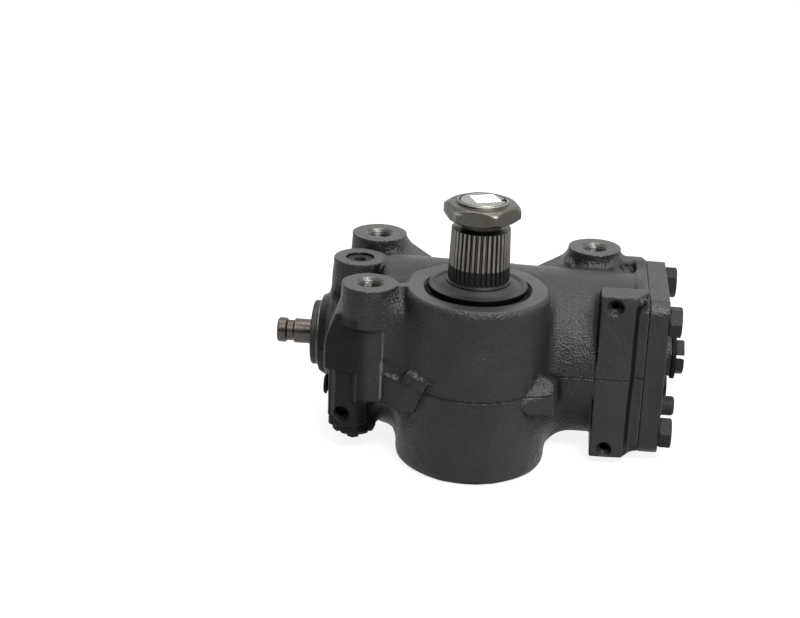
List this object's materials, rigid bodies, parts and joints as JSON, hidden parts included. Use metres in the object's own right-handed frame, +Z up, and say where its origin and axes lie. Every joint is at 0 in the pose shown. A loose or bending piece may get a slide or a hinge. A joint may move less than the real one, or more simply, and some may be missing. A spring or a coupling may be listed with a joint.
{
  "type": "steering gearbox",
  "caption": "Recirculating-ball hydraulic power steering gear in a black cast housing, with a serrated output shaft up, an input shaft at one end and a bolted cover at the other.",
  "frame": {"origin": "output shaft axis at the machined mounting plane (the ring round the shaft and the three boss faces)", "axes": "+Z up along the output shaft towards its nut, +X along the power cylinder towards its end cover, +Y away from the sector case towards the hidden side"},
  "size_m": [0.361, 0.2155, 0.2327],
  "materials": {
    "cast_black": "satin black paint over rough sand-cast iron, smoother on machined faces",
    "cover_black": "satin black paint over cast and machined iron",
    "fastener_black": "black paint over hexagon bolts and plugs",
    "steel_dark": "dark oiled forged steel",
    "steel_shaft": "bare turned steel",
    "steel_ground": "ground bearing steel",
    "iron_inner": "bare machined ductile iron, oiled",
    "spring_steel": "phosphated spring steel",
    "rubber_black": "black moulded rubber",
    "ptfe": "bronze-filled sealing plastic",
    "label_white": "white paper label, blank"
  },
  "bodies": {
    "case": {"housing": "cast_black", "end_cover": "cover_black", "end_cover_bolts": "fastener_black", "end_cover_seal": "rubber_black", "limiter_screw": "fastener_black", "limiter_nut": "fastener_black", "limiter_washer": "fastener_black", "end_cover_plug": "fastener_black", "upper_bearing_ring": "steel_ground", "upper_bearing_rollers": "steel_ground", "lower_bearing_ring": "steel_ground", "lower_bearing_rollers": "steel_ground", "sector_shaft_seal": "rubber_black", "seal_snap_ring": "spring_steel", "dust_cap": "rubber_black", "sector_cover": "cover_black", "sector_cover_seal": "rubber_black", "sector_cover_ring": "spring_steel", "adjusting_screw": "steel_dark", "adjuster_lock_nut": "steel_dark", "valve_cover": "steel_dark", "input_bearing": "steel_ground", "input_seal": "rubber_black", "input_dust_cover": "rubber_black", "worm_thrust_washers": "steel_ground", "worm_thrust_rollers": "steel_ground", "port_plug": "fastener_black", "side_plug": "fastener_black", "relief_plug": "fastener_black", "relief_spring": "spring_steel"},
    "sector": {"sector_shaft": "steel_dark", "drop_arm_nut": "steel_dark", "shaft_label": "label_white"},
    "piston": {"rack_piston": "iron_inner", "piston_ring": "ptfe", "ball_return_tubes": "steel_ground", "tube_clamp": "steel_ground", "tube_clamp_screws": "steel_dark", "balls": "steel_ground"},
    "worm": {"worm_screw": "steel_shaft", "valve_sleeve": "steel_ground", "sleeve_rings": "ptfe", "sleeve_pin": "steel_ground", "torsion_bar": "steel_ground", "worm_pin": "steel_ground"},
    "input": {"input_shaft": "steel_shaft", "input_pin": "steel_ground"},
    "relief_valve": {"relief_poppet": "steel_ground"}
  },
  "joints": [
    {"name": "worm_turn", "type": "hinge", "parent": "case", "child": "worm", "pos_m": [-0.1, 0.068, -0.0775], "axis": [1, 0, 0], "range_deg": [-835, 835]},
    {"name": "sector_turn", "type": "hinge", "parent": "case", "child": "sector", "pos_m": [0, 0, 0], "axis": [0, 0, 1], "range_deg": [-45.1, 45.1]},
    {"name": "piston_slide", "type": "slide", "parent": "case", "child": "piston", "axis": [1, 0, 0], "range_m": [-0.02945, 0.02945]},
    {"name": "valve_twist", "type": "hinge", "parent": "worm", "child": "input", "pos_m": [-0.15, 0.068, -0.0775], "axis": [1, 0, 0], "range_deg": [-5, 5], "stiffness_Nm_per_rad": 57},
    {"name": "relief_slide", "type": "slide", "parent": "case", "child": "relief_valve", "axis": [0, 0, -1], "range_m": [0, 0.002], "stiffness_N_per_m": 3000, "springref_m": -0.002, "deforming": ["relief_spring"]}
  ],
  "couplings": [
    {"joint": "worm_turn", "follows": "piston_slide", "rad_per_m": -494.74},
    {"joint": "sector_turn", "follows": "piston_slide", "rad_per_m": -26.667}
  ]
}
